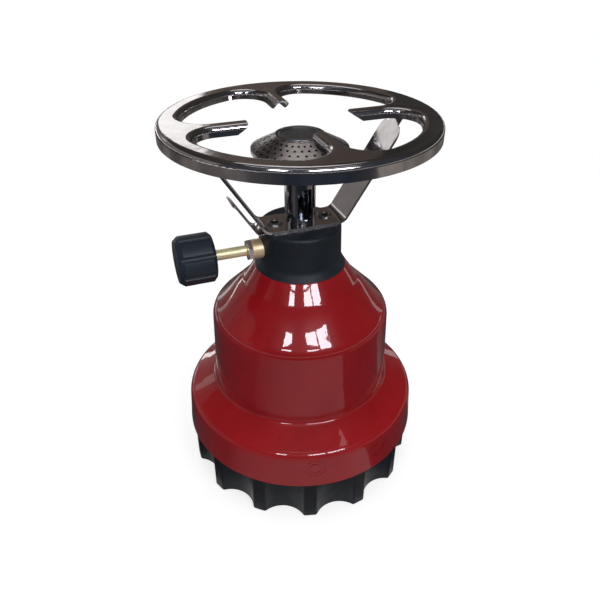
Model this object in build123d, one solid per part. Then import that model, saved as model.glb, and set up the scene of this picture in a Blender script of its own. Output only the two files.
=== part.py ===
from build123d import *

import os
from math import atan2, degrees, radians, sqrt, tan

# Portable gas stove on a pierceable cartridge. Millimetres, +Z up, origin under the middle of the base.
# +X runs along the support bracket, and the valve knob points along -X.

# Clearances
running_clearance = 0.06
assembly_clearance = 0.1
seam_gap = 0.4
stop_gap = 0.3

# Base handwheel
grip_height = 26.0
lobe_count = 14
lobe_depth = 6.0
lobe_tip_width = 7.0
lobe_phase = -2.0
lobe_rounding = 1.6
grip_edge_rounding = 1.2
grip_wall = 2.4
grip_deck = 2.6
base_floor = 3.0
sleeve_wall = 2.4
sleeve_height = 17.0
sleeve_room = 10.0
sleeve_inset = 2.0
cradle_wall = 2.0
cradle_height = 12.0
base_rib = 1.8
foot_hub_radius = 16.0
foot_rim = 6.0
foot_recess = 0.9
foot_spokes = 7
foot_spoke_width = 2.4

# Gas cartridge
can_radius = 45.0
can_body_height = 66.0
can_dome_height = 19.0
can_nose_height = 5.0
can_nose_radius = 15.0
can_shoulder_rounding = 9.0
can_base_rounding = 3.0
can_gauge = 0.5

# Pressed shell
shell_gauge = 0.9
skirt_overhang = 1.6
skirt_draft = 1.3
skirt_height = 19.6
skirt_rounding = 5.4
ledge_rise = 8.8
can_room = 3.0
ledge_rounding = 3.0
headroom = 28.0
wall_draft = 1.2
shoulder_rounding = 8.0
cone_rise = 16.9
cone_radius = 29.6
cone_rounding = 6.0
neck_rise = 9.4
neck_radius = 23.3
neck_rounding = 0.8

# Ring dimples staked round the skirt
dimple_pairs = 2
dimple_spacing = 32.7
dimple_phase = -103.0
dimple_height = 12.0
dimple_radii = (2.9, 5.1)
dimple_groove = 0.8
dimple_depth = 0.25

# Thread ring inside the skirt
thread_ring_wall = 2.0
thread_ring_height = 15.0
thread_ring_flange = 2.2

# Neck collar
collar_foot = 2.2
collar_foot_rise = 4.2
collar_draft = 0.4
collar_wall = 2.9
collar_top = 3.5
collar_room = 1.6
collar_rounding = 1.8
collar_flare = 5.0

# Valve
stem_radius = 8.6
valve_flange_radius = 14.0
valve_flange = 3.0
barrel_radius = 9.0
stub_rise = 1.4
boss_radius = 5.2
boss_reach = 15.5
boss_room = 3.0
inlet_radius = 1.4
port_radius = 1.0
plenum_wall = 0.9
chamber_radius = 2.9
outlet_radius = 0.8
plenum_depth = 1.2
nut_across = 26.0
nut_height = 6.0
washer_radius = 13.5
washer_thickness = 1.2

# Cartridge connection
needle_radius = 1.4
needle_bore = 0.6
needle_reach = 6.0
needle_root = 6.0
needle_tip_length = 2.6
seal_radius = 7.6
seal_height = 4.0
seal_rounding = 1.0

# Gland, spindle and knob
gland_radius = 5.0
gland_shank_radius = 3.9
gland_shank = 6.0
gland_reach = 26.0
gland_nose_radius = 3.2
gland_nose = 2.2
gland_rounding = 0.6
lock_ring_across = 9.6
lock_ring_thickness = 1.8
o_ring_section = 0.5
o_ring_depth = 3.0
spindle_radius = 2.65
spindle_neck_radius = 2.0
spindle_grip = 13.0
spindle_tip_length = 2.4
knob_radius = 12.3
knob_reach = 45.0
knob_length = 18.0
knob_flutes = 8
knob_flute_radius = 1.7
knob_flute_depth = 0.9
knob_phase = 29.0
knob_bevel_length = 2.4
knob_bevel_depth = 1.9
knob_back_bevel = 1.6

# Support bracket
bracket_gauge = 1.2
bracket_width = 18.8
bracket_inset = 1.3
bracket_angle = 57.2
bracket_bend = 5.2
tab_width = 8.0
tab_length = 7.5
tab_bend = 1.8
tab_rounding = 2.0
arm_shoulder_drop = 8.0
arm_shoulder_rounding = 2.6
rivet_room = 0.8
rivet_radius = 2.6
rivet_hole = 1.9
rivet_head_radius = 3.7
rivet_head = 0.8
rivet_foot_radius = 3.3

# Pot ring
pot_gap = 8.1
ring_radius = 64.5
ring_width = 9.5
ring_gauge = 0.9
ring_rounding = 2.6
outer_flange = 7.0
inner_flange = 4.8
tongue_count = 4
tongue_width = 7.2
tongue_tip = 25.0
tongue_root_rounding = 12.0
tongue_bevel = 5.0
tongue_lip = 1.6

# Burner
tube_radius = 7.6
tube_wall = 0.75
tube_length = 27.3
window_width = 7.0
window_sill = 2.0
window_height = 18.5
window_rounding = 0.8
jet_flange = 1.0
jet_radius = 2.8
jet_height = 3.4
jet_bore = 0.4
bowl_gauge = 0.8
bowl_socket = 5.0
bowl_rise = 7.5
head_radius = 23.0
head_lip = 1.6
cone_gauge = 0.7
flame_rise = 6.4
flame_top_radius = 11.9
flame_top_lip = 3.4
flame_bead = 0.7
flame_bead_width = 1.6
hole_radius = 0.62
hole_rows = 4
holes_per_row = 32
cap_rim = 1.4
cap_height = 0.8
cap_dish = 0.4
cap_plug = 2.0

# Radii that follow from the cartridge and the tube
sleeve_radius = can_radius + sleeve_room
lobe_valley_radius = sleeve_radius + sleeve_inset
lobe_tip_radius = lobe_valley_radius + lobe_depth
foot_recess_radius = sleeve_radius - foot_rim
skirt_radius = lobe_tip_radius + skirt_overhang
ledge_radius = can_radius + can_room
collar_radius = neck_radius - collar_foot
stub_radius = tube_radius - tube_wall - 1.5 * assembly_clearance
outlet_reach = stub_radius - plenum_wall - assembly_clearance - outlet_radius
port_reach = outlet_reach - outlet_radius - assembly_clearance
stem_hole = stem_radius + assembly_clearance
stub_hole = stub_radius + assembly_clearance
gland_hole = gland_radius + assembly_clearance
fold_reach = collar_radius - bracket_inset
rivet_reach = barrel_radius + rivet_foot_radius + rivet_room
cap_radius = flame_top_radius - flame_bead_width - assembly_clearance

# Heights that follow from the stack
skirt_z = grip_height + seam_gap
can_shoulder_z = base_floor + can_body_height
can_top_z = can_shoulder_z + can_dome_height + can_nose_height
shoulder_z = can_shoulder_z + headroom
neck_z = shoulder_z + cone_rise + neck_rise
stem_z = can_top_z + stop_gap + seal_height
valve_z = neck_z + valve_flange + boss_room + boss_radius
ceiling_z = valve_z + boss_radius + collar_room + rivet_head
collar_z = ceiling_z + collar_top
plate_z = collar_z + bracket_gauge
stub_z = plate_z + stub_rise
tube_top_z = plate_z + tube_length
head_z = tube_top_z + bowl_rise
flame_z = head_z + head_lip
cap_z = flame_z + flame_rise
ring_z = cap_z + cap_height + pot_gap

outward = (Align.MIN, Align.CENTER, Align.MIN)


def outline(corners, rounds=0):
    """A closed face in the XZ plane from (radius, height) corners, each with its rounding."""
    return Plane.XZ * make_face(FilletPolyline(*corners, radius=rounds, close=True))


def turned(corners, rounds=0):
    """A solid of revolution about Z from (radius, height) corners."""
    return revolve(outline(corners, rounds), Axis.Z)


def beside(corners, gap):
    """The same run of corners, a gap to its left."""
    places = [complex(*corner) for corner in corners]
    ways = [(b - a) / abs(b - a) for a, b in zip(places, places[1:])]
    moved = [places[0] + gap * 1j * ways[0]]
    for place, into, out in zip(places[1:], ways, ways[1:]):
        moved.append(place + gap * 1j * (into + out) / (1 + (into.conjugate() * out).real))
    moved.append(places[-1] + gap * 1j * ways[-1])
    return [(place.real, place.imag) for place in moved]


def beside_rounds(corners, rounds, gap):
    """The roundings of that moved run: tighter on left turns and wider on right turns."""
    places = [complex(*corner) for corner in corners]
    ways = [b - a for a, b in zip(places, places[1:])]
    turns = [(a.conjugate() * b).imag for a, b in zip(ways, ways[1:])]
    return [max(r - gap, 0) if turn > 0 else r + gap for r, turn in zip(rounds, turns)]


def pressed(corners, rounds, gauge):
    """A sheet of one gauge, turned about Z, whose right-hand side is the run of corners."""
    inner = beside(corners, gauge)
    inner_rounds = beside_rounds(corners, rounds, gauge)
    loop = corners + inner[::-1]
    return turned(loop, [0, *rounds, 0, 0, *inner_rounds[::-1], 0])


def rod(radius, low, high):
    """An upright cylinder between two heights."""
    return Pos(0, 0, low) * Cylinder(radius, high - low, align=(Align.CENTER, Align.CENTER, Align.MIN))


def along_valve(solid):
    """Lays a solid made along +Z onto the valve axis, so that +Z becomes -X."""
    return Pos(0, 0, valve_z) * Rot(0, -90, 0) * solid


def hexagon(across, low, high):
    """An upright hexagonal prism of a given width across flats."""
    return Pos(0, 0, low) * extrude(RegularPolygon(across / 2, 6, major_radius=False), high - low)


def lobed_face(inset):
    """The handwheel's plan: flat-ended lobes with hollow scallops between them."""
    tip = lobe_tip_radius - inset
    half = lobe_tip_width / 2 - inset / 2
    valley = lobe_valley_radius - inset
    pitch = 360 / lobe_count
    edges = []
    for number in range(lobe_count):
        turn = Rot(0, 0, lobe_phase + number * pitch)
        next_turn = Rot(0, 0, lobe_phase + (number + 1) * pitch)
        left = (turn * Pos(tip, -half, 0)).position
        right = (turn * Pos(tip, half, 0)).position
        following = (next_turn * Pos(tip, -half, 0)).position
        hollow = (Rot(0, 0, lobe_phase + (number + 0.5) * pitch) * Pos(valley, 0, 0)).position
        edges += [Line(left, right), ThreePointArc(right, hollow, following)]
    face = make_face(edges)
    return fillet(face.vertices(), lobe_rounding)


def make_base_handwheel():
    grip = extrude(lobed_face(0), grip_height)
    grip = fillet(grip.faces().sort_by(Axis.Z)[0].edges(), grip_edge_rounding)
    under = extrude(lobed_face(grip_wall), grip_height - grip_deck) - rod(sleeve_radius, 0, grip_height)
    ribs = Part()
    for number in range(lobe_count):
        rib = Box(lobe_tip_radius - sleeve_radius, base_rib, grip_height, align=outward)
        ribs += Rot(0, 0, lobe_phase + number * 360 / lobe_count) * Pos(sleeve_radius - 1, 0, 0) * rib
    grip -= under - ribs
    recess = rod(foot_recess_radius, 0, foot_recess) - rod(foot_hub_radius, 0, foot_recess)
    for number in range(foot_spokes):
        spoke = Box(foot_recess_radius, foot_spoke_width, foot_recess, align=outward)
        recess -= Rot(0, 0, number * 360 / foot_spokes) * spoke
    grip -= recess
    sleeve = rod(sleeve_radius, grip_height - grip_deck, grip_height + sleeve_height)
    cavity = rod(sleeve_radius - sleeve_wall, base_floor, grip_height + sleeve_height)
    cradle = rod(can_radius + stop_gap + cradle_wall, base_floor, base_floor + cradle_height)
    cradle -= rod(can_radius + stop_gap, base_floor, base_floor + cradle_height)
    return grip + sleeve - cavity + cradle


def make_gas_cartridge():
    dome_z = can_shoulder_z + can_dome_height
    corners = [(0, base_floor), (can_radius, base_floor), (can_radius, can_shoulder_z)]
    corners += [(can_nose_radius, dome_z), (can_nose_radius, can_top_z), (0, can_top_z)]
    rounds = [can_base_rounding, can_shoulder_rounding, can_gauge * 2, can_gauge * 2]
    can = pressed(corners, rounds, can_gauge)
    return can - rod(needle_radius + stop_gap, can_top_z - can_nose_height, can_top_z + can_nose_height)


def skirt_radius_at(rise):
    return skirt_radius - skirt_draft * rise / skirt_height


def shell_corners():
    edge_z = skirt_z + skirt_height
    ledge_z = edge_z + ledge_rise
    return [
        (skirt_radius, skirt_z),
        (skirt_radius - skirt_draft, edge_z),
        (ledge_radius, ledge_z),
        (ledge_radius - wall_draft, shoulder_z),
        (cone_radius, shoulder_z + cone_rise),
        (neck_radius, neck_z),
        (stem_hole, neck_z),
    ]


def make_body_shell():
    rounds = [skirt_rounding, ledge_rounding, shoulder_rounding, cone_rounding, neck_rounding]
    shell = pressed(shell_corners(), rounds, shell_gauge)
    reach = max(dimple_radii) + dimple_groove
    low, high = dimple_height - reach, dimple_height + reach
    band = [(skirt_radius_at(low) - dimple_depth, skirt_z + low), (skirt_radius + 1, skirt_z + low)]
    band += [(skirt_radius + 1, skirt_z + high), (skirt_radius_at(high) - dimple_depth, skirt_z + high)]
    rings = []
    for radius in dimple_radii:
        outer = Cylinder(radius + dimple_groove / 2, 4 * reach)
        ring = Rot(0, 90, 0) * (outer - Cylinder(radius - dimple_groove / 2, 4 * reach))
        for number in range(2 * dimple_pairs):
            turn = number // 2 * 360 / dimple_pairs + number % 2 * dimple_spacing
            rings.append(Rot(0, 0, dimple_phase + turn) * Pos(skirt_radius, 0, skirt_z + dimple_height) * ring)
    return shell - (turned(band) & (Part() + rings))


def make_thread_ring():
    inner = sleeve_radius + running_clearance
    low = skirt_z + seam_gap
    high = low + thread_ring_height
    rim_low = skirt_radius_at(high - thread_ring_flange - skirt_z) - shell_gauge - stop_gap
    rim_high = skirt_radius_at(high - skirt_z) - shell_gauge - stop_gap
    middle = inner + thread_ring_wall
    corners = [(inner, low), (middle, low), (middle, high - thread_ring_flange)]
    corners += [(rim_low, high - thread_ring_flange), (rim_high, high), (inner, high)]
    return turned(corners)


def make_neck_collar():
    inner = collar_radius - collar_wall
    corners = [(inner, neck_z), (neck_radius, neck_z), (collar_radius, neck_z + collar_foot_rise)]
    corners += [(collar_radius - collar_draft, collar_z), (stub_hole, collar_z)]
    corners += [(stub_hole, ceiling_z), (inner, ceiling_z)]
    collar = turned(corners, [0, 0, collar_flare, collar_rounding, 0, 0, 0])
    collar -= along_valve(rod(gland_hole, 0, neck_radius))
    for side in (-1, 1):
        hole = rod(rivet_radius + assembly_clearance, ceiling_z - 1, collar_z + 1)
        collar -= Pos(side * rivet_reach, 0, 0) * hole
    return collar


def make_valve_body():
    flange_z = neck_z + valve_flange
    corners = [(0, stem_z), (stem_radius, stem_z), (stem_radius, neck_z), (valve_flange_radius, neck_z)]
    corners += [(valve_flange_radius, flange_z), (barrel_radius, flange_z), (barrel_radius, ceiling_z)]
    corners += [(stub_radius, ceiling_z), (stub_radius, stub_z), (0, stub_z)]
    body = turned(corners)
    body += along_valve(rod(boss_radius, 0, boss_reach))
    body -= along_valve(rod(chamber_radius, port_reach, boss_reach))
    body -= along_valve(rod(gland_shank_radius + running_clearance, boss_reach - gland_shank, boss_reach))
    body -= along_valve(rod(port_radius, 0, port_reach))
    body -= rod(inlet_radius, stem_z, valve_z + inlet_radius)
    body -= rod(needle_radius + running_clearance, stem_z, stem_z + needle_root)
    body -= rod(stub_radius - plenum_wall, stub_z - plenum_depth, stub_z)
    return body - Pos(-outlet_reach, 0, 0) * rod(outlet_radius, valve_z, stub_z)


def make_lock_washer():
    high = neck_z - shell_gauge
    return rod(washer_radius, high - washer_thickness, high) - rod(stem_hole, 0, high)


def make_valve_locknut():
    high = neck_z - shell_gauge - washer_thickness
    return hexagon(nut_across, high - nut_height, high) - rod(stem_radius + running_clearance, 0, high)


def make_piercing_needle():
    tip_z = can_top_z - needle_reach
    shaft = rod(needle_radius, tip_z, stem_z + needle_root)
    shaft -= rod(needle_bore, tip_z, stem_z + needle_root)
    slope = [(-needle_radius * 2, tip_z), (needle_radius * 2, tip_z)]
    slope += [(needle_radius * 2, tip_z + 2 * needle_tip_length)]
    wedge = Plane.XZ * make_face(Polyline(*slope, close=True))
    return shaft - extrude(wedge, needle_radius * 2, both=True)


def make_cartridge_seal():
    low = can_top_z + stop_gap
    ring = rod(seal_radius, low, stem_z) - rod(needle_radius + assembly_clearance, low, stem_z)
    return fillet(ring.faces().sort_by(Axis.Z)[0].edges().sort_by(SortBy.RADIUS)[-1:], seal_rounding)


def make_gland_nut():
    start = boss_reach - gland_shank
    corners = [(spindle_neck_radius + running_clearance, start), (gland_shank_radius, start)]
    corners += [(gland_shank_radius, boss_reach), (gland_radius, boss_reach), (gland_radius, gland_reach)]
    corners += [(gland_nose_radius, gland_reach), (gland_nose_radius, gland_reach + gland_nose)]
    corners += [(spindle_neck_radius + running_clearance, gland_reach + gland_nose)]
    nut = turned(corners, [0, 0, 0, 0, gland_rounding, 0, 0, 0])
    groove_low = boss_reach + o_ring_depth
    groove_radius = spindle_neck_radius + running_clearance + 2 * o_ring_section
    groove = rod(groove_radius, groove_low, groove_low + 3 * o_ring_section)
    return along_valve(nut - groove)


def make_gland_lock_ring():
    ring = hexagon(lock_ring_across, gland_reach, gland_reach + lock_ring_thickness)
    return along_valve(ring - rod(gland_nose_radius + running_clearance, 0, gland_reach + gland_nose))


def make_spindle_o_ring():
    middle = spindle_neck_radius + running_clearance + o_ring_section
    height = boss_reach + o_ring_depth + 1.5 * o_ring_section
    return along_valve(Pos(0, 0, height) * Torus(middle, o_ring_section))


def make_spindle():
    step = gland_reach + gland_nose + stop_gap
    point = port_radius / 2
    seated = (port_radius - running_clearance - point) / (spindle_neck_radius - point)
    tip = port_reach - seated * spindle_tip_length
    full = tip + spindle_tip_length
    corners = [(0, tip), (point, tip), (spindle_neck_radius, full), (spindle_neck_radius, step)]
    corners += [(spindle_radius, step), (spindle_radius, knob_reach + spindle_grip)]
    corners += [(0, knob_reach + spindle_grip)]
    return along_valve(turned(corners))


def make_knob():
    tip = knob_reach + knob_length
    corners = [(0, knob_reach), (knob_radius - knob_back_bevel, knob_reach)]
    corners += [(knob_radius, knob_reach + knob_back_bevel), (knob_radius, tip - knob_bevel_length)]
    corners += [(knob_radius - knob_bevel_depth, tip), (0, tip)]
    knob = turned(corners)
    flute_at = knob_radius + knob_flute_radius - knob_flute_depth
    for number in range(knob_flutes):
        turn = Rot(0, 0, knob_phase + number * 360 / knob_flutes)
        knob -= turn * Pos(flute_at, 0, 0) * rod(knob_flute_radius, 0, tip)
    knob -= rod(spindle_radius + running_clearance, knob_reach, knob_reach + spindle_grip + stop_gap)
    return along_valve(knob)


def bracket_plan():
    """The strip's outline seen from above: full width to the arm shoulders, then narrow tabs."""
    shoulder = tab_start() - arm_shoulder_drop / tan(radians(bracket_angle))
    end = tab_start() + tab_length
    half, narrow = bracket_width / 2, tab_width / 2
    right = [(shoulder, -half), (shoulder, -narrow), (end, -narrow)]
    right += [(end, narrow), (shoulder, narrow), (shoulder, half)]
    left = [(-x, -y) for x, y in right]
    rounds = [arm_shoulder_rounding, tab_rounding / 2, tab_rounding]
    return make_face(FilletPolyline(*right, *left, radius=(rounds + rounds[::-1]) * 2, close=True))


def tab_start():
    """Distance from the axis at which an arm's middle line meets its tab's."""
    rise = ring_z - ring_gauge - plate_z
    return fold_reach + rise / tan(radians(bracket_angle))


def make_support_bracket():
    plate_line = plate_z - bracket_gauge / 2
    tab_line = ring_z - ring_gauge - bracket_gauge / 2
    reach = tab_start()
    points = [(-reach - tab_length, tab_line), (-reach, tab_line), (-fold_reach, plate_line)]
    points += [(fold_reach, plate_line), (reach, tab_line), (reach + tab_length, tab_line)]
    bends = [tab_bend, bracket_bend, bracket_bend, tab_bend]
    upper = beside(points, bracket_gauge / 2)
    lower = beside(points, -bracket_gauge / 2)
    upper_rounds = beside_rounds(points, bends, bracket_gauge / 2)
    lower_rounds = beside_rounds(points, bends, -bracket_gauge / 2)
    section = outline(upper + lower[::-1], [0, *upper_rounds, 0, 0, *lower_rounds[::-1], 0])
    strip = extrude(section, bracket_width / 2, both=True)
    strip &= extrude(bracket_plan(), ring_z)
    strip -= rod(stub_hole, collar_z - 1, plate_z + 1)
    for side in (-1, 1):
        hole = rod(rivet_radius + assembly_clearance, collar_z - 1, plate_z + 1)
        strip -= Pos(side * rivet_reach, 0, 0) * hole
    return strip


def make_rivet(side):
    foot = ceiling_z - rivet_head
    head = plate_z + rivet_head
    corners = [(rivet_hole, foot), (rivet_foot_radius, foot), (rivet_foot_radius, ceiling_z)]
    corners += [(rivet_radius, ceiling_z), (rivet_radius, plate_z), (rivet_head_radius, plate_z)]
    corners += [(rivet_head_radius, head), (rivet_hole, head)]
    curl = rivet_head * 0.6
    return Pos(side * rivet_reach, 0, 0) * turned(corners, [0, 0, 0, 0, 0, 0, curl, curl])


def make_left_rivet():
    return make_rivet(-1)


def make_right_rivet():
    return make_rivet(1)


def ring_plan(inset, tip):
    """The pot ring seen from above: an annulus with tongues that run in on rounded roots."""
    inner = ring_radius - ring_width + inset
    width = tongue_width - 2 * inset
    face = Circle(ring_radius - inset) - Circle(inner)
    length = ring_radius - ring_width / 2 - tip
    for number in range(tongue_count):
        bar = Pos(tip + length / 2, 0, 0) * Rectangle(length, width)
        face += Rot(0, 0, number * 360 / tongue_count) * bar
    roots = [v for v in face.vertices() if abs(sqrt(v.X**2 + v.Y**2) - inner) < 0.01]
    face = fillet(roots, tongue_root_rounding + inset)
    ends = [v for v in face.vertices() if sqrt(v.X**2 + v.Y**2) < tip + width / 2]
    return fillet(ends, width / 3)


def make_pot_ring():
    blank_tip = tongue_tip - 2 * tongue_width / 3
    blank = extrude(ring_plan(0, blank_tip), outer_flange)
    blank = fillet(blank.faces().sort_by(Axis.Z)[-1].edges(), ring_rounding)
    hollow = extrude(ring_plan(ring_gauge, blank_tip + ring_gauge), outer_flange - ring_gauge)
    hollow = fillet(hollow.faces().sort_by(Axis.Z)[-1].edges(), ring_rounding - ring_gauge)
    ring = blank - hollow
    ring -= rod(ring_radius - 2 * ring_gauge, 0, outer_flange - inner_flange)
    ring -= Box(2 * tongue_tip, 2 * tongue_tip, 3 * outer_flange)
    bevel = [(0, 0), (tongue_tip + tongue_bevel, 0)]
    bevel += [(tongue_tip + tongue_bevel, outer_flange - inner_flange)]
    bevel += [(tongue_tip, outer_flange - tongue_lip), (0, outer_flange - tongue_lip)]
    wedge = extrude(Plane.XZ * make_face(Polyline(*bevel, close=True)), tongue_width, both=True)
    for number in range(tongue_count):
        ring -= Rot(0, 0, number * 360 / tongue_count) * wedge
    return Pos(0, 0, ring_z - outer_flange) * ring


def make_burner_tube():
    tube = rod(tube_radius, plate_z, tube_top_z) - rod(tube_radius - tube_wall, plate_z, tube_top_z)
    half = window_width / 2
    low, high = plate_z + window_sill, plate_z + window_height
    rounds = [0.96 * half, 0.96 * half, window_rounding, window_rounding]
    corners = [(-half, low), (half, low), (half, high), (-half, high)]
    return tube - extrude(outline(corners, rounds), 2 * tube_radius)


def make_gas_jet():
    top = stub_z + jet_flange + jet_height
    flange_radius = tube_radius - tube_wall - assembly_clearance
    corners = [(jet_bore, stub_z), (flange_radius, stub_z), (flange_radius, stub_z + jet_flange)]
    corners += [(jet_radius, stub_z + jet_flange), (jet_radius, top - jet_radius / 2)]
    corners += [(jet_radius / 2, top), (jet_bore, top)]
    return turned(corners)


def make_burner_bowl():
    socket = tube_radius + assembly_clearance + bowl_gauge
    corners = [(socket, tube_top_z - bowl_socket), (socket, tube_top_z)]
    corners += [(head_radius, head_z), (head_radius, flame_z)]
    bowl = pressed(corners, [bowl_gauge * 3, bowl_gauge * 2], bowl_gauge)
    stop = rod(socket, tube_top_z, tube_top_z + bowl_gauge)
    return bowl + stop - rod(tube_radius - tube_wall, tube_top_z, tube_top_z + bowl_gauge)


def make_flame_cone():
    low, high = flame_z, cap_z
    rim, top = head_radius, flame_top_radius
    seat = top - flame_bead_width
    curl = flame_bead * 0.8
    corners = [(rim, low), (rim, low + cone_gauge), (top, high), (top, high + flame_bead)]
    corners += [(seat, high + flame_bead), (seat, high), (top - flame_top_lip, high)]
    corners += [(top - flame_top_lip, high - cone_gauge), (top - cone_gauge / 2, high - cone_gauge)]
    corners += [(rim - 2 * cone_gauge, low)]
    cone = turned(corners, [0, 0, 0, curl, curl, 0, 0, 0, 0, 0])
    tilt = degrees(atan2(flame_rise - cone_gauge, rim - top))
    drill = Rot(0, tilt, 0) * Cylinder(hole_radius, 6 * cone_gauge)
    drills = []
    for row in range(hole_rows):
        share = (row + 0.8) / (hole_rows + 0.4)
        place = Pos(top + (rim - top) * share, 0, high + (low + cone_gauge - high) * share)
        for number in range(holes_per_row):
            turn = Rot(0, 0, (number + row % 2 / 2) * 360 / holes_per_row)
            drills.append(turn * place * drill)
    return cone - drills


def make_burner_cap():
    top = cap_z + cap_height
    plug = flame_top_radius - flame_top_lip - assembly_clearance
    corners = [(0, cap_z - cap_plug), (plug, cap_z - cap_plug), (plug, cap_z)]
    corners += [(cap_radius, cap_z), (cap_radius, top)]
    corners += [(cap_radius - cap_rim, top), (cap_radius - cap_rim - cap_dish, top - cap_dish)]
    corners += [(0, top - cap_dish)]
    return turned(corners, [0, 0, 0, 0, cap_height / 2, 0, 0, 0])


makers = {
    "base_handwheel": make_base_handwheel,
    "gas_cartridge": make_gas_cartridge,
    "body_shell": make_body_shell,
    "thread_ring": make_thread_ring,
    "neck_collar": make_neck_collar,
    "valve_body": make_valve_body,
    "lock_washer": make_lock_washer,
    "valve_locknut": make_valve_locknut,
    "piercing_needle": make_piercing_needle,
    "cartridge_seal": make_cartridge_seal,
    "gland_nut": make_gland_nut,
    "gland_lock_ring": make_gland_lock_ring,
    "spindle_o_ring": make_spindle_o_ring,
    "spindle": make_spindle,
    "knob": make_knob,
    "support_bracket": make_support_bracket,
    "left_rivet": make_left_rivet,
    "right_rivet": make_right_rivet,
    "pot_ring": make_pot_ring,
    "burner_tube": make_burner_tube,
    "gas_jet": make_gas_jet,
    "burner_bowl": make_burner_bowl,
    "flame_cone": make_flame_cone,
    "burner_cap": make_burner_cap,
}

os.makedirs("parts", exist_ok=True)
for node, maker in makers.items():
    export_step(maker(), f"parts/{node}.step")
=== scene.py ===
"""Portable gas stove: finishes, small detail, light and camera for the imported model."""
import math

import bpy
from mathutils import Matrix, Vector


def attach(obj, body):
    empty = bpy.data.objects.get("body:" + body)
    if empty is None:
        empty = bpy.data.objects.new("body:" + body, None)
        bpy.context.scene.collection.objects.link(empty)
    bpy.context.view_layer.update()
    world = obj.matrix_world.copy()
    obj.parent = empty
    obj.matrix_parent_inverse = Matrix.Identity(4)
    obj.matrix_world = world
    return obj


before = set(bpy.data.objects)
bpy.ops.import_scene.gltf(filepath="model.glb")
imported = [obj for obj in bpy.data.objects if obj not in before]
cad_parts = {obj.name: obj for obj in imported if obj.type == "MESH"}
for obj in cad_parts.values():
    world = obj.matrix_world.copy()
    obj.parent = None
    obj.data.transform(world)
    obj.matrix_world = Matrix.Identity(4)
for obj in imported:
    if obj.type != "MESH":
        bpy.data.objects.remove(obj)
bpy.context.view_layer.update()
scene = bpy.context.scene
scene.view_settings.view_transform = "Standard"


# Camera, fitted to the photo: metres, degrees and millimetres
CAMERA_PLACE = (-0.09343, -0.25670, 0.27883)
CAMERA_PITCH = 32.92
CAMERA_TURN = -20.0
CAMERA_LENS = 36.37
CAMERA_SENSOR = 36.0
CAMERA_NEAREST = 0.01

camera_data = bpy.data.cameras.new("camera")
camera_data.lens = CAMERA_LENS
camera_data.sensor_width = CAMERA_SENSOR
camera_data.clip_start = CAMERA_NEAREST
camera = bpy.data.objects.new("camera", camera_data)
camera.location = CAMERA_PLACE
camera.rotation_euler = (math.radians(90.0 - CAMERA_PITCH), 0.0, math.radians(CAMERA_TURN))
scene.collection.objects.link(camera)
scene.camera = camera


# Node helpers
WHITE = (1.0, 1.0, 1.0, 1.0)
MIX_FACTOR, MIX_FIRST, MIX_SECOND, MIX_COLOUR = 0, 6, 7, 2
EDGE_WEAR = (0.02, 0.22)
EDGE_SAMPLES = 6


def node(tree, kind, inputs=None, **settings):
    """A new node; each input is a socket to link or a plain value."""
    made = tree.nodes.new(kind)
    for key, value in settings.items():
        setattr(made, key, value)
    for key, value in (inputs or {}).items():
        if isinstance(value, bpy.types.NodeSocket):
            tree.links.new(value, made.inputs[key])
        else:
            made.inputs[key].default_value = value
    return made


def place(tree, scale=(1.0, 1.0, 1.0), turn=(0.0, 0.0, 0.0)):
    """Coordinates of the piece itself, in metres, stretched by scale."""
    coordinates = node(tree, "ShaderNodeTexCoord").outputs["Object"]
    inputs = {"Vector": coordinates, "Scale": scale, "Rotation": turn}
    return node(tree, "ShaderNodeMapping", inputs).outputs[0]


def noise(tree, scale, detail=2.0, roughness=0.5, vector=None):
    inputs = {"Vector": vector or place(tree), "Scale": scale, "Detail": detail, "Roughness": roughness}
    return node(tree, "ShaderNodeTexNoise", inputs).outputs[0]


def spread(tree, value, low, high, to_low=0.0, to_high=1.0, curve="LINEAR"):
    """The value, moved from low..high to to_low..to_high and held inside."""
    inputs = {"Value": value, "From Min": low, "From Max": high, "To Min": to_low, "To Max": to_high}
    return node(tree, "ShaderNodeMapRange", inputs, interpolation_type=curve).outputs[0]


def patches(tree, scale, span, detail=3.0, roughness=0.5, to=(0.0, 1.0)):
    """Soft patches of noise: to[0] where it is below the span, to[1] where it is above."""
    return spread(tree, noise(tree, scale, detail, roughness), *span, *to)


def tinted(colour):
    """A colour socket as it is, or a plain tone with its alpha."""
    return colour if isinstance(colour, bpy.types.NodeSocket) else (*colour, 1.0)


def blend(tree, factor, first, second):
    inputs = {MIX_FACTOR: factor, MIX_FIRST: tinted(first), MIX_SECOND: tinted(second)}
    return node(tree, "ShaderNodeMix", inputs, data_type="RGBA").outputs[MIX_COLOUR]


def bump(tree, height, distance, strength=1.0, under=None):
    inputs = {"Height": height, "Distance": distance, "Strength": strength}
    if under:
        inputs["Normal"] = under
    return node(tree, "ShaderNodeBump", inputs).outputs[0]


def arith(tree, operation, first, second):
    return node(tree, "ShaderNodeMath", {0: first, 1: second}, operation=operation).outputs[0]


def vector_arith(tree, operation, result, *vectors):
    return node(tree, "ShaderNodeVectorMath", dict(enumerate(vectors)), operation=operation).outputs[result]


def worn_edge(tree, radius):
    """One along sharp edges and corners of the piece, nought on its faces."""
    plain = node(tree, "ShaderNodeNewGeometry").outputs["Normal"]
    rounded = node(tree, "ShaderNodeBevel", {"Radius": radius}, samples=EDGE_SAMPLES).outputs[0]
    match = vector_arith(tree, "DOT_PRODUCT", "Value", plain, rounded)
    return spread(tree, arith(tree, "SUBTRACT", 1.0, match), *EDGE_WEAR)


def rubbed(tree, colour, worn, radius, scale, span, share):
    """The colour, with a share of the worn tone in patches along the edges."""
    rub = arith(tree, "MULTIPLY", worn_edge(tree, radius), patches(tree, scale, span))
    return blend(tree, arith(tree, "MULTIPLY", rub, share), colour, worn)


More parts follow.
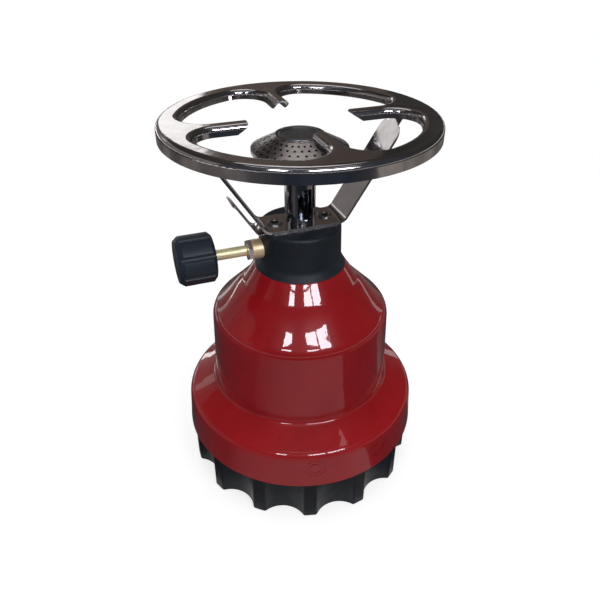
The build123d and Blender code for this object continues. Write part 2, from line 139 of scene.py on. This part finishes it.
def new_material(name, **values):
    made = bpy.data.materials.new(name)
    made.use_nodes = True
    tree = made.node_tree
    shader = tree.nodes["Principled BSDF"]
    for key, value in values.items():
        shader.inputs[key.replace("_", " ")].default_value = value
    return made, tree, shader


def wire(tree, shader, **sockets):
    for key, socket in sockets.items():
        tree.links.new(socket, shader.inputs[key.replace("_", " ")])


def scaled(tone, factor):
    return tuple(value * factor for value in tone)


# Finishes
CLOUD_SPAN = (0.35, 0.65)
SMEAR_SPAN = (0.35, 0.7)
MIDDLE_SPAN = (0.3, 0.7)
RED_TONES = (0.285, 0.0056, 0.0088), (0.330, 0.0070, 0.0108)
RED_SPECK = (0.09, 0.003, 0.005)
RED_RUBBED = (0.36, 0.030, 0.040)
RED_ROUGHNESS = (0.27, 0.38)
SWELL_SPAN = (0.0960, 0.1110)
SWELL_RISE = 0.00188


def red_paint():
    """Glossy enamel with orange peel; the cone swells a little above the shoulder."""
    made, tree, shader = new_material("red_enamel", Coat_Weight=1.0, Coat_Roughness=0.025, Coat_IOR=1.5,
                                      Specular_IOR_Level=0.12)
    colour = blend(tree, patches(tree, scale=38.0, span=CLOUD_SPAN), *RED_TONES)
    specks = patches(tree, scale=620.0, span=(0.74, 0.80), detail=1.0)
    colour = blend(tree, specks, colour, RED_SPECK)
    colour = rubbed(tree, colour, RED_RUBBED, radius=0.0005, scale=210.0, span=(0.45, 0.62), share=0.5)
    rough = patches(tree, scale=160.0, span=MIDDLE_SPAN, detail=4.0, roughness=0.6, to=RED_ROUGHNESS)
    peel = bump(tree, noise(tree, scale=60.0), distance=0.00032, strength=0.6)
    height = node(tree, "ShaderNodeSeparateXYZ", {0: place(tree)}).outputs[2]
    swell = spread(tree, height, *SWELL_SPAN, curve="SMOOTHSTEP")
    peel = bump(tree, swell, SWELL_RISE, under=peel)
    peel = bump(tree, noise(tree, scale=900.0), distance=0.00003, strength=0.2, under=peel)
    wire(tree, shader, Base_Color=colour, Roughness=rough, Normal=peel, Coat_Normal=peel)
    return made


PLASTIC_ROUGHNESS = (0.40, 0.54)
THREAD_PITCH = 0.006
THREAD_FOOT = 0.0285
THREAD_RUN_OUT = 0.0015
THREAD_DEPTH = 0.0030


def thread_wave(tree):
    """Height of the screw thread on the base's sleeve, above its foot."""
    at = node(tree, "ShaderNodeSeparateXYZ", {0: place(tree)})
    turn = arith(tree, "DIVIDE", arith(tree, "ARCTAN2", at.outputs[1], at.outputs[0]), math.tau)
    rise = arith(tree, "SUBTRACT", arith(tree, "DIVIDE", at.outputs[2], THREAD_PITCH), turn)
    wave = arith(tree, "PINGPONG", rise, 0.5)
    above = spread(tree, at.outputs[2], THREAD_FOOT, THREAD_FOOT + THREAD_RUN_OUT)
    return arith(tree, "MULTIPLY", wave, above)


def black_plastic(name, tone, grain, shine, threaded=False):
    """Moulded plastic with a fine grain and paler edges."""
    made, tree, shader = new_material(name, Specular_IOR_Level=shine)
    cloud = patches(tree, scale=90.0, span=CLOUD_SPAN, detail=4.0, roughness=0.6)
    colour = blend(tree, cloud, tone, scaled(tone, 1.4))
    colour = rubbed(tree, colour, scaled(tone, 3.2), radius=0.0004, scale=260.0, span=(0.4, 0.65), share=0.6)
    rough = patches(tree, scale=240.0, span=MIDDLE_SPAN, roughness=0.6, to=PLASTIC_ROUGHNESS)
    skin = bump(tree, noise(tree, grain), distance=0.00004, strength=0.5)
    if threaded:
        skin = bump(tree, thread_wave(tree), THREAD_DEPTH, under=skin)
    wire(tree, shader, Base_Color=colour, Roughness=rough, Normal=skin)
    return made


CHROME_WORN = (0.86, 0.85, 0.84)
SCRATCH_STRETCH = (90.0, 2600.0, 900.0)
SCRATCH_TURN = (0.0, 0.0, 0.6)


def chrome(name, tone, rough_low, rough_high, ripple):
    """Plated sheet with smears, fine scratches and the ripple of the pressing."""
    made, tree, shader = new_material(name, Metallic=1.0)
    smear = patches(tree, scale=70.0, span=SMEAR_SPAN, detail=4.0, roughness=0.65)
    colour = blend(tree, smear, tone, scaled(tone, 0.84))
    colour = rubbed(tree, colour, CHROME_WORN, radius=0.0004, scale=300.0, span=(0.4, 0.6), share=0.7)
    scratch = noise(tree, scale=1.0, vector=place(tree, SCRATCH_STRETCH, SCRATCH_TURN))
    scuff = spread(tree, scratch, low=0.6, high=0.8, to_high=0.05)
    rough = arith(tree, "ADD", spread(tree, smear, 0.0, 1.0, rough_low, rough_high), scuff)
    waves = bump(tree, noise(tree, scale=95.0), ripple)
    waves = bump(tree, scratch, distance=0.00001, strength=0.3, under=waves)
    wire(tree, shader, Base_Color=colour, Roughness=rough, Normal=waves)
    return made


BRUSH_STRETCH = (400.0, 400.0, 4200.0)
BRUSH_DEPTH = 0.00002


def steel(name, tone, dark, rough, relief=0.4):
    """Stained steel with brushed lines, bright along the edges."""
    made, tree, shader = new_material(name, Metallic=1.0)
    stain = patches(tree, scale=120.0, span=SMEAR_SPAN, detail=4.0, roughness=0.6)
    colour = blend(tree, stain, tone, dark)
    colour = rubbed(tree, colour, scaled(tone, 1.6), radius=0.0003, scale=320.0, span=(0.4, 0.6), share=0.6)
    lines = noise(tree, scale=1.0, vector=place(tree, BRUSH_STRETCH))
    roughness = spread(tree, lines, *MIDDLE_SPAN, rough * 0.8, rough * 1.25)
    skin = bump(tree, lines, BRUSH_DEPTH, relief)
    wire(tree, shader, Base_Color=colour, Roughness=roughness, Normal=skin)
    return made


BRASS_ROUGHNESS = (0.40, 0.50)
TURNING_STRETCH = (5200.0, 120.0, 120.0)


def brass(name, bright, dull):
    """Turned brass with patches of tarnish."""
    made, tree, shader = new_material(name, Metallic=0.62)
    tarnish = patches(tree, scale=150.0, span=(0.40, 0.75))
    colour = blend(tree, tarnish, bright, dull)
    turning = noise(tree, scale=1.0, detail=1.0, vector=place(tree, TURNING_STRETCH))
    roughness = spread(tree, turning, *MIDDLE_SPAN, *BRASS_ROUGHNESS)
    skin = bump(tree, turning, distance=0.00003, strength=0.5)
    wire(tree, shader, Base_Color=colour, Roughness=roughness, Normal=skin)
    return made


RUBBER_TONES = (0.012, 0.012, 0.013), (0.03, 0.03, 0.03)
RUBBER_ROUGHNESS = (0.6, 0.8)


def rubber():
    made, tree, shader = new_material("seal_rubber", IOR=1.4)
    bloom = patches(tree, scale=300.0, span=(0.4, 0.7))
    colour = blend(tree, bloom, *RUBBER_TONES)
    roughness = spread(tree, bloom, 0.0, 1.0, *RUBBER_ROUGHNESS)
    skin = bump(tree, noise(tree, scale=1500.0), distance=0.00004, strength=0.5)
    wire(tree, shader, Base_Color=colour, Roughness=roughness, Normal=skin)
    return made


CAN_TONES = (0.50, 0.51, 0.50), (0.58, 0.58, 0.56)
CAN_ROUGHNESS = (0.3, 0.42)


def can_paint():
    made, tree, shader = new_material("can_enamel", Coat_Weight=0.4, Coat_Roughness=0.1)
    colour = blend(tree, patches(tree, scale=45.0, span=CLOUD_SPAN), *CAN_TONES)
    roughness = patches(tree, scale=200.0, span=MIDDLE_SPAN, to=CAN_ROUGHNESS)
    skin = bump(tree, noise(tree, scale=800.0), distance=0.00003, strength=0.3)
    wire(tree, shader, Base_Color=colour, Roughness=roughness, Normal=skin)
    return made


collar_black = black_plastic("collar_plastic", (0.0082, 0.0130, 0.0195), grain=1600.0, shine=0.35)
base_black = black_plastic("base_plastic", (0.0066, 0.0082, 0.0124), grain=1300.0, shine=0.18, threaded=True)
knob_black = black_plastic("knob_plastic", (0.0110, 0.0195, 0.0305), grain=1900.0, shine=0.40)
ring_chrome = chrome("ring_chrome", (0.62, 0.60, 0.60), 0.09, 0.15, ripple=0.00012)
bracket_chrome = chrome("bracket_chrome", (0.62, 0.59, 0.58), 0.07, 0.15, ripple=0.00008)
tube_chrome = chrome("tube_chrome", (0.36, 0.37, 0.39), 0.05, 0.10, ripple=0.00004)
plain_steel = steel("zinc_steel", (0.56, 0.55, 0.53), (0.36, 0.35, 0.34), rough=0.26)
rivet_steel = steel("rivet_steel", (0.34, 0.33, 0.33), (0.20, 0.195, 0.195), rough=0.36)
ring_steel = steel("lock_ring_steel", (0.86, 0.85, 0.84), (0.66, 0.65, 0.63), rough=0.30)
jet_steel = steel("jet_steel", (0.56, 0.60, 0.66), (0.38, 0.42, 0.48), rough=0.22)
cone_steel = steel("burner_steel", (0.39, 0.365, 0.36), (0.30, 0.275, 0.265), rough=0.28, relief=0.08)
cap_steel = steel("cap_steel", (0.31, 0.34, 0.37), (0.22, 0.245, 0.27), rough=0.34, relief=0.15)
gold_brass = brass("turned_brass", (1.0, 0.92, 0.58), (0.86, 0.74, 0.44))
gland_brass = brass("gland_brass", (0.96, 0.76, 0.50), (0.76, 0.54, 0.32))
seal_rubber = rubber()
finishes = {
    "base_handwheel": base_black,
    "thread_ring": base_black,
    "neck_collar": collar_black,
    "knob": knob_black,
    "body_shell": red_paint(),
    "gas_cartridge": can_paint(),
    "pot_ring": ring_chrome,
    "support_bracket": bracket_chrome,
    "burner_tube": tube_chrome,
    "left_rivet": rivet_steel,
    "right_rivet": rivet_steel,
    "lock_washer": plain_steel,
    "valve_locknut": plain_steel,
    "piercing_needle": plain_steel,
    "gland_lock_ring": ring_steel,
    "gas_jet": jet_steel,
    "burner_bowl": cone_steel,
    "flame_cone": cone_steel,
    "burner_cap": cap_steel,
    "valve_body": gold_brass,
    "gland_nut": gland_brass,
    "spindle": gold_brass,
    "cartridge_seal": seal_rubber,
    "spindle_o_ring": seal_rubber,
}
for name, finish in finishes.items():
    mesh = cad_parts[name].data
    mesh.materials.clear()
    mesh.materials.append(finish)


# Heat shield: a thin strip of sheet between the knob and the bracket's left arm
SHIELD_GAUGE = 0.0006
SHIELD_HALF_WIDTH = 0.0070
SHIELD_CORNER = 0.0014
SHIELD_BEVEL = 0.00015
SHIELD_BEVEL_ANGLE = 50.0
SHIELD_PATH = [
    (-0.01860, 0.14566), (-0.01960, 0.14562), (-0.02080, 0.14535), (-0.02190, 0.14500), (-0.02270, 0.14505),
    (-0.02340, 0.14545), (-0.02400, 0.14600), (-0.02460, 0.14664), (-0.02624, 0.14918), (-0.02787, 0.15171),
    (-0.02949, 0.15423), (-0.03112, 0.15675), (-0.03220, 0.15843), (-0.03328, 0.16011), (-0.03385, 0.16080),
    (-0.03450, 0.16130), (-0.03515, 0.16150),
]


def shield_half_width(left):
    """Half the strip's width where left is the way still to go to its upper end."""
    if left >= SHIELD_CORNER:
        return SHIELD_HALF_WIDTH
    short = SHIELD_CORNER - left
    return SHIELD_HALF_WIDTH - SHIELD_CORNER + math.sqrt(SHIELD_CORNER ** 2 - short ** 2)


def sheet_strip(name, path, gauge, half_width, finish):
    """A bent strip of sheet: its path is in XZ, its width along Y."""
    points = [Vector((x, 0.0, z)) for x, z in path]
    lengths = [(b - a).length for a, b in zip(points, points[1:])]
    verts = []
    for index, point in enumerate(points):
        ahead = points[min(index + 1, len(points) - 1)] - points[max(index - 1, 0)]
        out = Vector((-ahead.z, 0.0, ahead.x)).normalized() * (gauge / 2)
        half = half_width(sum(lengths[index:]))
        for side, across in ((1, -half), (1, half), (-1, half), (-1, -half)):
            verts.append(point + out * side + Vector((0.0, across, 0.0)))
    faces = [(3, 2, 1, 0)]
    for index in range(len(points) - 1):
        low = 4 * index
        for corner in range(4):
            after = (corner + 1) % 4
            faces.append((low + corner, low + after, low + 4 + after, low + 4 + corner))
    top = 4 * (len(points) - 1)
    faces.append((top, top + 1, top + 2, top + 3))
    mesh = bpy.data.meshes.new(name)
    mesh.from_pydata(verts, [], faces)
    mesh.validate()
    mesh.materials.append(finish)
    made = bpy.data.objects.new(name, mesh)
    scene.collection.objects.link(made)
    soften = made.modifiers.new("soften", "BEVEL")
    soften.width = SHIELD_BEVEL
    soften.segments = 2
    soften.limit_method = "ANGLE"
    soften.angle_limit = math.radians(SHIELD_BEVEL_ANGLE)
    for face in mesh.polygons:
        face.use_smooth = True
    return made


shield = sheet_strip("heat_shield", SHIELD_PATH, SHIELD_GAUGE, shield_half_width, bracket_chrome)
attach(shield, "stove_top")


# Stage: pale floor, glowing boards that paint reflections into the metal, soft lamps and a white surround
def stage_mesh(name, verts, faces, finish):
    mesh = bpy.data.meshes.new(name)
    mesh.from_pydata(verts, [], faces)
    mesh.materials.append(finish)
    made = bpy.data.objects.new(name, mesh)
    scene.collection.objects.link(made)
    return made


def seen_rays(tree):
    """One for rays from the camera, off shiny surfaces and through clear ones."""
    rays = node(tree, "ShaderNodeLightPath")
    seen = arith(tree, "MAXIMUM", rays.outputs["Is Camera Ray"], rays.outputs["Is Glossy Ray"])
    return arith(tree, "MAXIMUM", seen, rays.outputs["Is Transmission Ray"])


FLOOR_SIZE = 8.0
FLOOR_TONES = (0.40, 0.40, 0.40), (0.42, 0.42, 0.42)
FLOOR_LIFT = 0.72
FLOOR_NEAR = 0.22
FLOOR_FAR = 0.60
FLOOR_CORNERS = [
    (-FLOOR_SIZE, -FLOOR_SIZE, 0),
    (FLOOR_SIZE, -FLOOR_SIZE, 0),
    (FLOOR_SIZE, FLOOR_SIZE, 0),
    (-FLOOR_SIZE, FLOOR_SIZE, 0),
]


def floor_finish():
    """Grey card that reads white to the eye and keeps the shadow round the stove."""
    made, tree, shader = new_material("floor_card", Roughness=0.9, Specular_IOR_Level=0.1,
                                      Emission_Color=WHITE)
    colour = blend(tree, patches(tree, scale=6.0, span=MIDDLE_SPAN), *FLOOR_TONES)
    seen = seen_rays(tree)
    lift = arith(tree, "MULTIPLY", seen, FLOOR_LIFT)
    wire(tree, shader, Base_Color=colour, Emission_Strength=lift)
    reach = vector_arith(tree, "LENGTH", "Value", place(tree))
    away = arith(tree, "MULTIPLY", spread(tree, reach, FLOOR_NEAR, FLOOR_FAR), seen)
    white = node(tree, "ShaderNodeEmission", {"Color": WHITE, "Strength": 1.0})
    mixed = node(tree, "ShaderNodeMixShader", {0: away, 1: shader.outputs[0], 2: white.outputs[0]})
    tree.links.new(mixed.outputs[0], tree.nodes["Material Output"].inputs["Surface"])
    return made


stage_mesh("floor", FLOOR_CORNERS, [(0, 1, 2, 3)], floor_finish())


def towards(azimuth, elevation):
    """The direction at these degrees: azimuth anticlockwise from +X, elevation up from the floor."""
    a, e = math.radians(azimuth), math.radians(elevation)
    return Vector((math.cos(a) * math.cos(e), math.sin(a) * math.cos(e), math.sin(e)))


BOARD_CLOUD_SPAN = (0.38, 0.62)


def board_finish(name, tone, other, strength=1.0, scale=1.6, fade=None):
    """A board's own glow, in clouds of two tones: a painted reflection, as the board lights nothing and shows
    only in shiny surfaces.

    fade is (azimuth, low, high, tone, other): the board has its own tones in that direction, where the cosine
    of the angle is above high, and the ones in fade where it is below low.
    """
    made = bpy.data.materials.new(name)
    made.use_nodes = True
    tree = made.node_tree
    tree.nodes.clear()
    cloud = patches(tree, scale, BOARD_CLOUD_SPAN)
    colour = blend(tree, cloud, tone, other)
    if fade:
        azimuth, low, high, far_tone, far_other = fade
        heading = vector_arith(tree, "NORMALIZE", 0, place(tree))
        match = vector_arith(tree, "DOT_PRODUCT", "Value", heading, towards(azimuth, 0.0))
        colour = blend(tree, spread(tree, match, low, high), blend(tree, cloud, far_tone, far_other), colour)
    glow = node(tree, "ShaderNodeEmission", {"Color": colour, "Strength": strength})
    node(tree, "ShaderNodeOutputMaterial", {"Surface": glow.outputs[0]})
    return made


def only_mirrored(board):
    """The board shows in shiny surfaces and neither lights nor shades anything."""
    board.visible_camera = False
    board.visible_diffuse = False
    board.visible_transmission = False
    board.visible_volume_scatter = False
    board.visible_shadow = False


BOARD_STEP = 4.0
FLOOR_BOARD_STEPS = 4


def sky_board(name, azimuths, elevations, radius, finish):
    """A piece of a globe round the stove."""
    columns = max(1, round((azimuths[1] - azimuths[0]) / BOARD_STEP))
    rows = max(1, round((elevations[1] - elevations[0]) / BOARD_STEP))
    verts = []
    for row in range(rows + 1):
        elevation = elevations[0] + (elevations[1] - elevations[0]) * row / rows
        for column in range(columns + 1):
            azimuth = azimuths[0] + (azimuths[1] - azimuths[0]) * column / columns
            verts.append(towards(azimuth, elevation) * radius)
    faces = []
    for row in range(rows):
        for column in range(columns):
            low = row * (columns + 1) + column
            faces.append((low, low + 1, low + columns + 2, low + columns + 1))
    only_mirrored(stage_mesh(name, verts, faces, finish))


def floor_board(name, radii, azimuths, height, finish):
    """A piece of a flat ring round the stove, a hair above the floor."""
    steps = max(FLOOR_BOARD_STEPS, round((azimuths[1] - azimuths[0]) / BOARD_STEP))
    verts = []
    for step in range(steps + 1):
        azimuth = azimuths[0] + (azimuths[1] - azimuths[0]) * step / steps
        for radius in radii:
            verts.append(towards(azimuth, 0.0) * radius + Vector((0.0, 0.0, height)))
    faces = [(2 * step, 2 * step + 1, 2 * step + 3, 2 * step + 2) for step in range(steps)]
    only_mirrored(stage_mesh(name, verts, faces, finish))


# Tones of the glowing boards: painted reflections, and painted highlights for the bright ones
DUSK_TONES = (0.060, 0.060, 0.066), (0.038, 0.038, 0.045)
SIDE_TONES = (0.185, 0.165, 0.160), (0.095, 0.086, 0.084)
NEAR_SCALE = 9.0
FAR_SCALE = 5.0
brown_board = board_finish("brown_board", (0.150, 0.120, 0.105), (0.080, 0.064, 0.057))
umber_board = board_finish("umber_board", (0.060, 0.054, 0.052), (0.030, 0.028, 0.028))
grey_board = board_finish("grey_board", (0.27, 0.25, 0.25), (0.15, 0.135, 0.14))
navy_board = board_finish("navy_board", (0.060, 0.064, 0.078), (0.030, 0.033, 0.042))
ceiling_board = board_finish("ceiling_board", (1.15, 1.10, 1.10), (0.80, 0.76, 0.76))
near_board = board_finish("near_board", (0.46, 0.43, 0.44), (0.36, 0.33, 0.34), scale=NEAR_SCALE,
                          fade=(285.0, 0.05, 0.65, *DUSK_TONES))
dark_board = board_finish("dark_board", *DUSK_TONES, scale=NEAR_SCALE)
far_board = board_finish("far_board", (0.032, 0.040, 0.056), (0.020, 0.026, 0.038), scale=FAR_SCALE,
                         fade=(262.0, 0.45, 0.92, *SIDE_TONES))
right_board = board_finish("right_board", (0.44, 0.39, 0.36), (0.20, 0.18, 0.17), scale=FAR_SCALE,
                           fade=(325.0, 0.62, 0.96, *SIDE_TONES))
back_glow = board_finish("back_glow", (1.0, 0.99, 0.99), (0.94, 0.92, 0.92), strength=1.55)
streak_glow = board_finish("streak_glow", (1.0, 0.97, 0.96), (0.92, 0.88, 0.88), strength=4.5)
strip_glow = board_finish("strip_glow", (1.0, 0.98, 0.97), (0.80, 0.78, 0.78), strength=1.6)
painted_pane_glow = board_finish("painted_pane_glow", (0.97, 0.95, 1.0), (0.92, 0.90, 1.0), strength=22.0)

# Painted reflections of walls and ceiling, from glowing boards seen only in shiny surfaces, in degrees: the
# corners, then what is seen in them
SKY_RADIUS = 2.5
FULL_TURN = 360.0
ZENITH = 90.0
RIGHT_CORNER = -20.0
BROWN_EDGE = 61.0
LEFT_CORNER = 190.0
WALL_FOOT = 3.0
PANEL_HEAD = 30.0
WALL_HEAD = 64.0
WALL = (WALL_FOOT, WALL_HEAD)
PANEL = (WALL_FOOT, PANEL_HEAD)
ROOF = (WALL_HEAD, ZENITH)
ROOF_BACK = (20.0, 140.0)
BACK_WINDOW = (80.0, 93.0)
BACK_VIEW = (13.0, 25.0)
ARM_WINDOW = (115.5, 122.5)
ARM_VIEW = (18.5, 24.0)
for name, azimuths, elevations, finish in (
    ("back_far_right", (RIGHT_CORNER, BROWN_EDGE), WALL, umber_board),
    ("back_right", (BROWN_EDGE, BACK_WINDOW[0]), WALL, brown_board),
    ("back_sill", BACK_WINDOW, (WALL_FOOT, BACK_VIEW[0]), grey_board),
    ("back_window", BACK_WINDOW, BACK_VIEW, back_glow),
    ("back_above", BACK_WINDOW, (BACK_VIEW[1], WALL_HEAD), brown_board),
    ("back_middle", (BACK_WINDOW[1], ARM_WINDOW[0]), PANEL, grey_board),
    ("arm_sill", ARM_WINDOW, (WALL_FOOT, ARM_VIEW[0]), grey_board),
    ("arm_above", ARM_WINDOW, (ARM_VIEW[1], PANEL_HEAD), grey_board),
    ("back_left", (ARM_WINDOW[1], LEFT_CORNER), PANEL, grey_board),
    ("back_left_high", (BACK_WINDOW[1], LEFT_CORNER), (PANEL_HEAD, WALL_HEAD), umber_board),
    ("front", (LEFT_CORNER, RIGHT_CORNER + FULL_TURN), WALL, navy_board),
    ("ceiling_back", ROOF_BACK, ROOF, ceiling_board),
    ("ceiling_front", (ROOF_BACK[1], ROOF_BACK[0] + FULL_TURN), ROOF, navy_board),
):
    sky_board(name, azimuths, elevations, SKY_RADIUS, finish)

# Painted highlights: bright panes, a glowing strip and a streak along the horizon, boards that light nothing
WINDOW_RADIUS = 2.2
PANES = [(-101.0, -86.0), (-83.5, -67.0), (-133.0, -122.0)]
PANE_LOW = (33.0, 36.5)
PANE_HIGH = (37.5, 41.0)
STRIP_SPAN = (-172.0, -42.0)
STRIP_VIEW = (61.0, 64.0)
STREAK_SPAN = (97.0, 119.0)
STREAK_VIEW = (0.6, 2.8)
for number, pane in enumerate(PANES):
    sky_board(f"pane_low_{number}", pane, PANE_LOW, WINDOW_RADIUS, painted_pane_glow)
    sky_board(f"pane_high_{number}", pane, PANE_HIGH, WINDOW_RADIUS, painted_pane_glow)
sky_board("strip_highlight", STRIP_SPAN, STRIP_VIEW, WINDOW_RADIUS, strip_glow)
sky_board("horizon_streak", STREAK_SPAN, STREAK_VIEW, SKY_RADIUS, streak_glow)

# Painted reflection of the table, glowing boards a hair above the floor as the metal sees them: rings in
# metres from the axis
NEAR_RING = (0.066, 0.30)
FAR_RING = (0.30, 0.66)
GAP_START = 0.38
GAP_END = 0.53
BACK_RIM = 0.72
OUTER_RING = (0.66, 2.4)
TABLE_LIFT = 0.0005
for name, radii, span, finish in (
    ("near_front", NEAR_RING, (190.0, 298.0), near_board),
    ("near_right", NEAR_RING, (298.0, 355.0), dark_board),
    ("near_edge", NEAR_RING, (355.0, 385.0), near_board),
    ("near_back", NEAR_RING, (25.0, 190.0), dark_board),
    ("far_front", FAR_RING, (132.0, 308.0), far_board),
    ("far_right", FAR_RING, (308.0, 455.0), right_board),
    ("far_gap", (FAR_RING[0], GAP_START), (95.0, 132.0), far_board),
    ("far_rim", (GAP_END, BACK_RIM), (95.0, 136.0), far_board),
    ("outer_back", (BACK_RIM, OUTER_RING[1]), (90.0, 136.0), umber_board),
    ("outer_left", OUTER_RING, (136.0, 190.0), umber_board),
    ("outer_front", OUTER_RING, (190.0, 325.0), umber_board),
    ("outer_right", OUTER_RING, (325.0, 430.0), umber_board),
):
    floor_board(name, radii, span, TABLE_LIFT, finish)


LAMP_AIM = Vector((0.0, 0.0, 0.10))


def lamp(name, azimuth, elevation, distance, size, power):
    """A soft lamp that doesn't show in shiny surfaces."""
    data = bpy.data.lights.new(name, "AREA")
    data.shape = "RECTANGLE"
    data.size, data.size_y = size
    data.energy = power
    made = bpy.data.objects.new(name, data)
    away = towards(azimuth, elevation)
    made.location = LAMP_AIM + away * distance
    made.rotation_euler = away.to_track_quat("Z", "Y").to_euler()
    made.visible_glossy = False
    scene.collection.objects.link(made)


lamp("key_right", azimuth=-84.0, elevation=38.5, distance=1.5, size=(0.95, 0.36), power=6.1)
lamp("key_left", azimuth=-128.0, elevation=38.5, distance=1.5, size=(0.30, 0.36), power=1.8)
lamp("overhead", azimuth=-100.0, elevation=84.0, distance=1.8, size=(1.2, 1.2), power=12.5)
lamp("fill_back", azimuth=75.0, elevation=32.0, distance=1.6, size=(1.1, 0.6), power=3.2)

SOFT_LIGHT = 0.30
world = bpy.data.worlds.new("surround")
scene.world = world
world.use_nodes = True
tree = world.node_tree
tree.nodes.clear()
soft = node(tree, "ShaderNodeBackground", {"Color": WHITE, "Strength": SOFT_LIGHT})
white = node(tree, "ShaderNodeBackground", {"Color": WHITE, "Strength": 1.0})
mixed = node(tree, "ShaderNodeMixShader", {0: seen_rays(tree), 1: soft.outputs[0], 2: white.outputs[0]})
node(tree, "ShaderNodeOutputWorld", {"Surface": mixed.outputs[0]})
